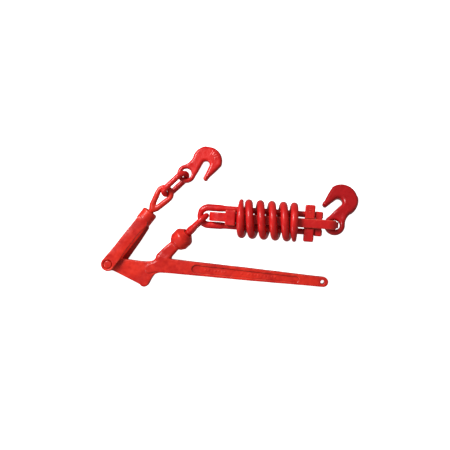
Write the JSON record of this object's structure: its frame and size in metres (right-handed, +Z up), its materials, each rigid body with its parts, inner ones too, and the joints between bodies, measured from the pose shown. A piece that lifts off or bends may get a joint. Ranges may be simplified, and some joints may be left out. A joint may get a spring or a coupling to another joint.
{
  "type": "lever load binder",
  "caption": "Lever load binder with a spring draw unit, a swivelling yoke and a grab hook at each end, for tightening tie-down chain.",
  "frame": {"origin": "centre of the bounding box's base, on the ground that the binder lies on", "axes": "+X along the handle, from the yoke's pivot towards its tip, to within 6 degrees; +Y from the handle towards the chain-side grab hook; +Z up, out of the ground"},
  "size_m": [0.5258, 0.2907, 0.081],
  "materials": {
    "orange_red_paint": "glossy paint over forged steel",
    "red_paint": "glossy paint over forged steel",
    "deep_red_paint": "glossy paint over forged steel"
  },
  "bodies": {
    "lever": {"lever": "orange_red_paint"},
    "yoke": {"yoke": "orange_red_paint", "hinge_pin": "orange_red_paint"},
    "yoke_eye": {"swivel_eye_yoke": "orange_red_paint"},
    "link": {"chain_link": "red_paint"},
    "chain_hook": {"grab_hook_chain": "red_paint"},
    "lever_eye": {"swivel_eye_lever": "red_paint"},
    "draw_frame": {"draw_rod": "red_paint", "keeper_bar_right": "red_paint", "end_plate_right": "red_paint"},
    "spring_pack": {"keeper_bar_left": "red_paint", "compression_spring": "red_paint"},
    "strap": {"draw_strap": "red_paint"},
    "spring_hook": {"grab_hook_spring": "deep_red_paint"}
  },
  "joints": [
    {"name": "yoke_pivot", "type": "hinge", "parent": "lever", "child": "yoke", "pos_m": [-0.24778, -0.09844, 0.02758], "axis": [0.0365, -0.0036, 0.9993], "range_deg": [-8, 240]},
    {"name": "yoke_swivel", "type": "hinge", "parent": "yoke", "child": "yoke_eye", "pos_m": [-0.16211, 0.00971, 0.02484], "axis": [0.6208, 0.7837, -0.0199], "continuous": true},
    {"name": "link_swing", "type": "hinge", "parent": "yoke_eye", "child": "link", "pos_m": [-0.12474, 0.0569, 0.02364], "axis": [0.6319, -0.6872, 0.3584], "range_deg": [-60, 60]},
    {"name": "chain_hook_swing", "type": "hinge", "parent": "link", "child": "chain_hook", "pos_m": [-0.08813, 0.08773, 0.0205], "axis": [-0.0557, -0.1275, -0.9903], "range_deg": [-75, 65]},
    {"name": "lever_swivel", "type": "hinge", "parent": "lever", "child": "lever_eye", "pos_m": [-0.09811, -0.0467, 0.0223], "axis": [0.71, 0.6358, 0.3029], "range_deg": [-180, 60]},
    {"name": "draw_unit_swing", "type": "hinge", "parent": "lever_eye", "child": "draw_frame", "pos_m": [-0.04492, 0.00093, 0.0409], "axis": [0, 0, 1], "range_deg": [-14, 46]},
    {"name": "draw", "type": "slide", "parent": "draw_frame", "child": "strap", "axis": [0.9976, -0.0698, 0], "range_m": [0, 0.0615]},
    {"name": "spring_follow", "type": "slide", "parent": "draw_frame", "child": "spring_pack", "axis": [0.9976, -0.0698, 0], "range_m": [0, 0.03444], "deforming": ["compression_spring"]},
    {"name": "spring_hook_swing", "type": "hinge", "parent": "strap", "child": "spring_hook", "pos_m": [0.2136, -0.01715, 0.0375], "axis": [0.0863, 0.2967, 0.9511], "range_deg": [-110, 0]}
  ],
  "couplings": [
    {"joint": "spring_follow", "follows": "draw", "ratio": 0.56}
  ]
}
